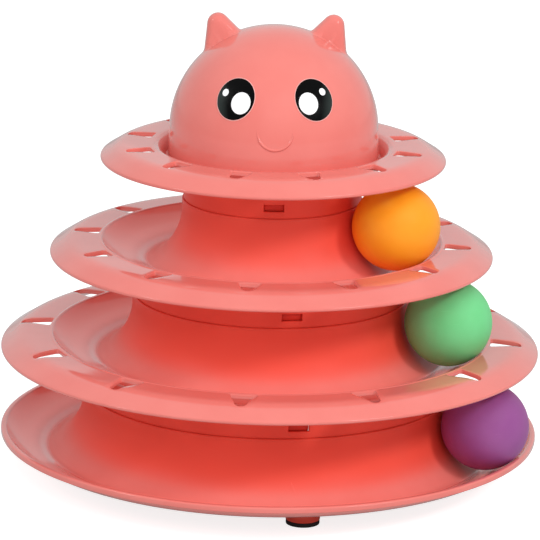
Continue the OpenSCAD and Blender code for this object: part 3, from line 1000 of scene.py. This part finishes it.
# lowest first; out is the share of the gap by which a ball stands outside the bank's middle
balls = {
    "purpleBall": {"node": "purple_ball", "body": "purple_roller", "slot": "purple_plastic",
                   "azimuth": 67.5, "out": 0.82, "dark": (147, 76, 143), "light": (156, 86, 151)},
    "greenBall": {"node": "green_ball", "body": "green_roller", "slot": "green_plastic",
                  "azimuth": 72.0, "out": 0.82, "dark": (108, 208, 132), "light": (118, 216, 144)},
    "orangeBall": {"node": "orange_ball", "body": "orange_roller", "slot": "orange_plastic",
                   "azimuth": 64.5, "out": 0.2, "dark": (254, 160, 26), "light": (255, 170, 38)},
}
ballLook = dict(pinkLook, roughness=0.5, roughSpread=0.1, fineScale=900.0, bump=0.00004, scratch=0.2,
                coat=0.0, ior=1.45)


def buildBall(k, name, ball):
    worn = tuple(min(255, c + 30) for c in ball["light"])
    skin = plastic(name + "Skin", dict(ballLook, dark=ball["dark"], light=ball["light"], worn=worn))
    radius, gap = tower["bankR"] - ballSizes["gap"], ballSizes["gap"]
    bm = bmesh.new()
    bmesh.ops.create_uvsphere(bm, u_segments=ballSizes["columns"], v_segments=ballSizes["rows"],
                              radius=radius * mm)
    for v in bm.verts:  # a faint welded seam round the middle
        v.co *= 1 - ballSizes["seam"] / radius * clamped(1 - abs(v.co.z) / mm / ballSizes["seamWidth"])
    tiltX, tiltY = [math.radians(angle) for angle in ballSizes["tilt"]]
    tilt = Matrix.Rotation(tiltX, 4, "X") @ Matrix.Rotation(tiltY, 4, "Y")
    r, z = bankCentre(k)
    place = spot(ball["azimuth"], r + gap * ball["out"], z - gap * ballSizes["sink"])
    bmesh.ops.transform(bm, matrix=Matrix.Translation(place) @ tilt, verts=bm.verts)
    piece = newPiece(name, bm, skin, ball["body"], ball["node"])


for k, (name, ball) in enumerate(balls.items()):
    buildBall(k, name, ball)
print("balls built")


# foot pads

rubberLook = {
    "colour": (24, 22, 23), "dusty": (58, 54, 53), "dust": 0.35, "dustScale": 90.0, "dustAt": (0.5, 0.7),
    "grainScale": 700.0, "roughness": 0.6, "roughSpread": 0.25, "bump": 0.00006,
}


def rubber(look):
    material, tree, shader = newMaterial("footRubber")
    place = objectPlace(tree)
    grain = addNoise(tree, place, look["grainScale"], 5.0)
    dust = addNoise(tree, place, look["dustScale"], 4.0).ramp(*look["dustAt"])
    colour = mixColour(tree, dust * look["dust"], linear(*look["colour"]), linear(*look["dusty"]))
    roughness = look["roughness"] + grain * look["roughSpread"]
    setInputs(tree, shader, {"Base Color": colour, "Roughness": roughness,
                             "Normal": addBump(tree, look["bump"], grain)})
    return material


def buildPad(name, node, centre, skin):
    r = (feet["radius"] - feet["padIn"]) * mm
    treadW, treadDepth = feet["treadW"] * mm, feet["treadDepth"] * mm
    bm = bmesh.new()
    place = Matrix.Translation(centre)
    bmesh.ops.create_circle(bm, cap_ends=True, segments=feet["sides"], radius=r, matrix=place)
    face = bm.faces[:][0]  # gets a shallow tread ring
    bmesh.ops.inset_region(bm, faces=[face], thickness=feet["treadIn"] * mm, depth=0)
    bmesh.ops.inset_region(bm, faces=[face], thickness=treadW, depth=-treadDepth)
    bmesh.ops.inset_region(bm, faces=[face], thickness=treadW, depth=treadDepth)
    made = bmesh.ops.extrude_edge_only(bm, edges=openEdges(bm))
    bmesh.ops.translate(bm, verts=vertsOf(made), vec=(0, 0, feet["pad"] * mm))
    bmesh.ops.contextual_create(bm, geom=openEdges(bm))
    corner = [e for e in bm.edges if all(abs((v.co - centre).xy.length - r) < 1e-6 for v in e.verts)
              and abs(e.verts[0].co.z - e.verts[1].co.z) < 1e-6]
    softenEdges(bm, corner, feet["padEdge"])
    piece = newPiece(name, bm, skin, "tower", node)


padSkin = rubber(rubberLook)
for n, azimuth in enumerate(evenly(feet["azimuth"], feet["count"]), 1):
    buildPad(f"footPad{n}", f"foot_pad_{n}", spot(azimuth, feet["placeR"], 0), padSkin)
print("foot pads built")


# floor, light and camera

studio = {
    "floorHalf": 6.0,  # metres
    "paper": ((184, 184, 184), (190, 190, 190)),
    "paperGlow": (0.1, 0.82),  # as the object sees it, and as the camera sees it
    "world": (0.46, 0.68),  # strength low in front and high behind and above
    "worldTilt": 0.35, "worldAt": (-0.2, 0.8),
    "aimZ": 0.1,
    # name, azimuth, elevation, distance, width, height, power, shows in reflections; the glints fall on the
    # white spots of the eyes
    "lights": [
        ("frontLight", 6.0, 36.0, 2.0, 1.1, 1.1, 12.8, False),
        ("rightLight", 52.0, 34.0, 1.9, 0.25, 0.25, 8.2, False),
        ("leftLight", -60.0, 30.0, 1.9, 0.8, 0.8, 4.0, False),
        ("rightGlint", 46.0, 33.0, 1.9, 0.6, 0.26, 3.2, True),
        ("leftGlint", -71.3, 37.2, 1.9, 0.3, 0.2, 1.2, True),
    ],
}


def cameraRay(tree):  # 1 where the camera looks straight at a surface or at the world
    return addNode(tree, "LightPath", output="Is Camera Ray")


def buildFloor():
    material, tree, shader = newMaterial("floorPaper")
    grain = addNoise(tree, objectPlace(tree), 14.0, 4.0)
    dark, light = [linear(*colour) for colour in studio["paper"]]
    dim, bright = [(glow, glow, glow, 1) for glow in studio["paperGlow"]]
    setInputs(tree, shader, {"Base Color": mixColour(tree, grain, dark, light), "Roughness": 0.9,
                             "Specular IOR Level": 0.0, "Emission Strength": 1.0,
                             "Emission Color": mixColour(tree, cameraRay(tree), dim, bright)})
    bm = bmesh.new()
    bmesh.ops.create_grid(bm, x_segments=2, y_segments=2, size=studio["floorHalf"])
    floor = newObject("floor", bm, material)


def buildWorld():
    world = bpy.data.worlds.new("studio")
    bpy.context.scene.world = world
    world.use_nodes = True
    tree = world.node_tree
    split = addNode(tree, "SeparateXYZ", None, {"Vector": addNode(tree, "TexCoord", output="Generated")})
    y, z = [Signal(tree, split.socket.node.outputs[axis]) for axis in ("Y", "Z")]
    low, high = studio["world"]
    room = (z + y * studio["worldTilt"]).ramp(*studio["worldAt"]) * (high - low) + low
    strength = cameraRay(tree) * (1 - room) + room  # the camera sees plain white
    setInputs(tree, tree.nodes["Background"], {"Color": (1, 1, 1, 1), "Strength": strength})


def buildLights():
    for name, azimuth, elevation, distance, width, height, power, mirrored in studio["lights"]:
        data = bpy.data.lights.new(name, "AREA")
        data.shape = "RECTANGLE"
        data.size, data.size_y = width, height
        data.energy = power
        light = bpy.data.objects.new(name, data)
        bpy.context.scene.collection.objects.link(light)
        light.visible_glossy = mirrored
        a, e = math.radians(azimuth), math.radians(elevation)
        back = Vector((math.sin(a) * math.cos(e), -math.cos(a) * math.cos(e), math.sin(e)))
        light.location = Vector((0, 0, studio["aimZ"])) + back * distance
        light.rotation_mode = "QUATERNION"
        light.rotation_quaternion = (-back).to_track_quat("-Z", "Y")


# places in millimetres, except for the clip distances
camera = {
    "aim": (-0.5, 0.0, 94.1), "distance": 1814.4, "elevation": 14.92, "roll": 1.11,
    "lens": 258.96, "sensor": 36.0, "clip": (0.1, 50.0),
}


def buildCamera():
    data = bpy.data.cameras.new("camera")
    data.lens = camera["lens"]
    data.sensor_width = camera["sensor"]
    data.clip_start, data.clip_end = camera["clip"]
    cam = bpy.data.objects.new("camera", data)
    bpy.context.scene.collection.objects.link(cam)
    e, roll = math.radians(camera["elevation"]), math.radians(camera["roll"])
    back = Vector((0, -math.cos(e), math.sin(e)))
    cam.location = (Vector(camera["aim"]) + back * camera["distance"]) * mm
    turn = (-back).to_track_quat("-Z", "Y").to_matrix().to_4x4() @ Matrix.Rotation(roll, 4, "Z")
    cam.rotation_mode = "QUATERNION"
    cam.rotation_quaternion = turn.to_quaternion()
    bpy.context.scene.camera = cam


buildFloor()
buildWorld()
buildLights()
buildCamera()
bpy.context.scene.view_settings.view_transform = "Standard"
print("studio built")
